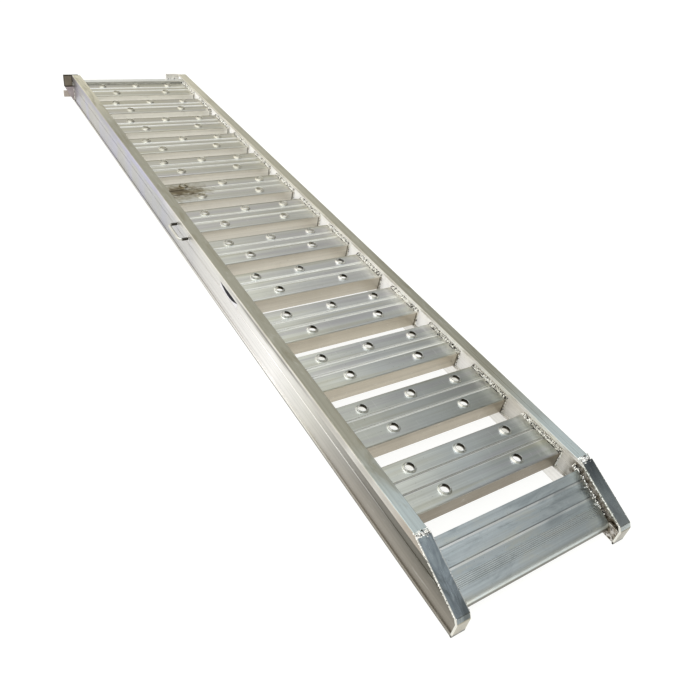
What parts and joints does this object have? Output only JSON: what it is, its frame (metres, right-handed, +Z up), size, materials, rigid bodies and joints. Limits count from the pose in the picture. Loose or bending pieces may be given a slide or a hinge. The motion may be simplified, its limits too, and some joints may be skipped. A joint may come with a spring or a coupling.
{
  "type": "loading ramp",
  "caption": "Long straight aluminium ramp with side flanges, punched grip rungs, a sloped foot, a side handle and top hook plates, for animals or wheels.",
  "frame": {"origin": "middle of the space the ramp covers on the floor, at floor level", "axes": "+Z up, +Y along the ramp from its foot to its top end, +X across it, so that -X is the side with the handle"},
  "size_m": [0.5044, 2.508, 0.104],
  "materials": {
    "rail_aluminium": "mill finish extrusion, weathered",
    "rung_aluminium": "mill finish extrusion, scuffed on top",
    "cap_aluminium": "bare sheet, darkened by heat",
    "hook_bar": "thick flat bar, dull",
    "handle_rod": "bent round rod",
    "label_vinyl": "printed vinyl with a plain blue bar",
    "weld": "rippled bead"
  },
  "bodies": {
    "root": {"left_rail": "rail_aluminium", "right_rail": "rail_aluminium", "left_nose_cap": "cap_aluminium", "right_nose_cap": "cap_aluminium", "rung_01": "rung_aluminium", "rung_02": "rung_aluminium", "rung_03": "rung_aluminium", "rung_04": "rung_aluminium", "rung_05": "rung_aluminium", "rung_06": "rung_aluminium", "rung_07": "rung_aluminium", "rung_08": "rung_aluminium", "rung_09": "rung_aluminium", "rung_10": "rung_aluminium", "rung_11": "rung_aluminium", "rung_12": "rung_aluminium", "rung_13": "rung_aluminium", "foot_plank": "rung_aluminium", "end_plate": "rung_aluminium", "left_hook_plate": "hook_bar", "right_hook_plate": "hook_bar", "left_hook_gusset": "hook_bar", "side_handle": "handle_rod", "side_label": "label_vinyl", "left_rung_welds": "weld", "right_rung_welds": "weld", "nose_cap_welds": "weld", "foot_plank_welds": "weld", "end_plate_welds": "weld", "hook_welds": "weld", "handle_welds": "weld"}
  },
  "joints": []
}
